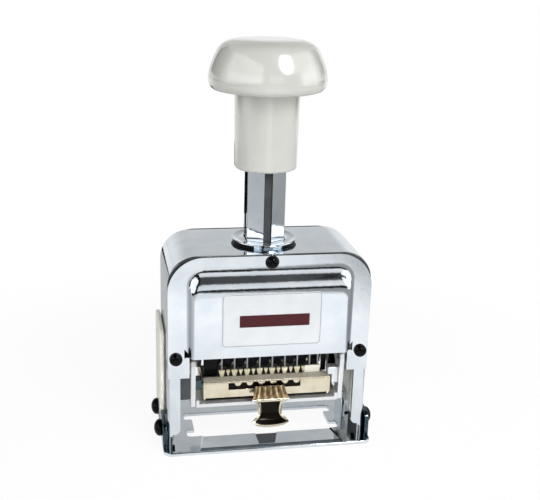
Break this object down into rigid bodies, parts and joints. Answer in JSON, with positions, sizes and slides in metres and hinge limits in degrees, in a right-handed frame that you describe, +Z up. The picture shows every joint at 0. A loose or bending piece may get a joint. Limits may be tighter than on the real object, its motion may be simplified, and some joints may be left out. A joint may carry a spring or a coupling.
{
  "type": "numbering machine",
  "caption": "Plunger numbering machine: a sprung handle drives number wheels down through a windowed foot while the ink pad swings clear.",
  "frame": {"origin": "on the plunger's axis, on the surface that the foot stands on", "axes": "+Z up along the plunger, -Y towards the front with the label and the ink pad's finger tab, +X to the right seen from the front"},
  "size_m": [0.0778, 0.0444, 0.137],
  "materials": {
    "chrome_plate": "polished chrome plate on pressed steel",
    "bright_steel": "plain pressed and turned steel",
    "black_steel": "glossy black on domed steel heads",
    "brass": "bright pressed and cut brass",
    "ivory_plastic": "glossy moulded plastic, off-white",
    "cream_plastic": "satin moulded plastic, cream",
    "label_foil": "thin satin label, blank",
    "ink_felt": "felt soaked with black ink"
  },
  "bodies": {
    "frame": {"frame_shell": "chrome_plate", "front_cover": "chrome_plate", "rear_cover": "chrome_plate", "base_foot": "chrome_plate", "guide_collar": "chrome_plate", "cross_pin": "bright_steel", "return_spring": "bright_steel", "label_plate": "label_foil", "side_cover_left": "cream_plastic", "front_screw_left": "black_steel", "rear_screw_left": "black_steel", "foot_screw_front_left": "black_steel", "foot_screw_rear_left": "black_steel", "pad_pivot_left": "bright_steel", "side_cover_right": "cream_plastic", "front_screw_right": "black_steel", "rear_screw_right": "black_steel", "foot_screw_front_right": "black_steel", "foot_screw_rear_right": "black_steel", "pad_pivot_right": "bright_steel"},
    "lock_button": {"lock_button": "black_steel"},
    "plunger": {"plunger_tube": "chrome_plate", "tube_plug": "bright_steel", "handle_sleeve": "ivory_plastic", "knob_cap": "ivory_plastic", "carriage_bridge": "bright_steel", "wheel_axle": "bright_steel", "axle_spacer": "bright_steel", "detent_comb": "bright_steel", "carriage_plate_left": "bright_steel", "cam_pin_left": "bright_steel", "carriage_plate_right": "bright_steel", "cam_pin_right": "bright_steel"},
    "wheel_1": {"number_wheel_1": "brass"},
    "wheel_2": {"number_wheel_2": "brass"},
    "wheel_3": {"number_wheel_3": "brass"},
    "wheel_4": {"number_wheel_4": "brass"},
    "wheel_5": {"number_wheel_5": "brass"},
    "wheel_6": {"number_wheel_6": "brass"},
    "wheel_7": {"number_wheel_7": "brass"},
    "wheel_8": {"number_wheel_8": "brass", "drive_ratchet": "brass"},
    "pawl": {"stepped_pawl": "bright_steel", "pawl_plate_left": "bright_steel", "pawl_plate_right": "bright_steel"},
    "pad_swing": {"pad_arm_left": "chrome_plate", "pad_arm_right": "chrome_plate", "pad_tray": "chrome_plate"},
    "pad_case": {"pad_case": "brass", "ink_pad": "ink_felt", "finger_tab": "brass"}
  },
  "joints": [
    {"name": "lock_press", "type": "slide", "parent": "frame", "child": "lock_button", "axis": [0, 1, 0], "range_m": [0, 0.002], "stiffness_N_per_m": 150, "springref_m": -0.002},
    {"name": "plunger_stroke", "type": "slide", "parent": "frame", "child": "plunger", "axis": [0, 0, -1], "range_m": [0, 0.022], "stiffness_N_per_m": 500, "springref_m": -0.02, "deforming": ["return_spring"]},
    {"name": "wheel_1_turn", "type": "hinge", "parent": "plunger", "child": "wheel_1", "pos_m": [0, 0, 0.0304], "axis": [1, 0, 0], "continuous": true},
    {"name": "wheel_2_turn", "type": "hinge", "parent": "plunger", "child": "wheel_2", "pos_m": [0, 0, 0.0304], "axis": [1, 0, 0], "continuous": true},
    {"name": "wheel_3_turn", "type": "hinge", "parent": "plunger", "child": "wheel_3", "pos_m": [0, 0, 0.0304], "axis": [1, 0, 0], "continuous": true},
    {"name": "wheel_4_turn", "type": "hinge", "parent": "plunger", "child": "wheel_4", "pos_m": [0, 0, 0.0304], "axis": [1, 0, 0], "continuous": true},
    {"name": "wheel_5_turn", "type": "hinge", "parent": "plunger", "child": "wheel_5", "pos_m": [0, 0, 0.0304], "axis": [1, 0, 0], "continuous": true},
    {"name": "wheel_6_turn", "type": "hinge", "parent": "plunger", "child": "wheel_6", "pos_m": [0, 0, 0.0304], "axis": [1, 0, 0], "continuous": true},
    {"name": "wheel_7_turn", "type": "hinge", "parent": "plunger", "child": "wheel_7", "pos_m": [0, 0, 0.0304], "axis": [1, 0, 0], "continuous": true},
    {"name": "wheel_8_turn", "type": "hinge", "parent": "plunger", "child": "wheel_8", "pos_m": [0, 0, 0.0304], "axis": [1, 0, 0], "continuous": true},
    {"name": "pawl_swing", "type": "hinge", "parent": "plunger", "child": "pawl", "pos_m": [0, 0, 0.0304], "axis": [1, 0, 0], "range_deg": [0, 36.2]},
    {"name": "pad_swing", "type": "hinge", "parent": "frame", "child": "pad_swing", "pos_m": [0, -0.0134, 0.0304], "axis": [-1, 0, 0], "range_deg": [0, 88.2]},
    {"name": "pad_case_slide", "type": "slide", "parent": "pad_swing", "child": "pad_case", "axis": [0, -1, 0], "range_m": [0, 0.025]}
  ],
  "couplings": [
    {"joint": "pawl_swing", "follows": "plunger_stroke", "rad_per_m": 28.56},
    {"joint": "pad_swing", "follows": "plunger_stroke", "rad_per_m": 69.813}
  ]
}
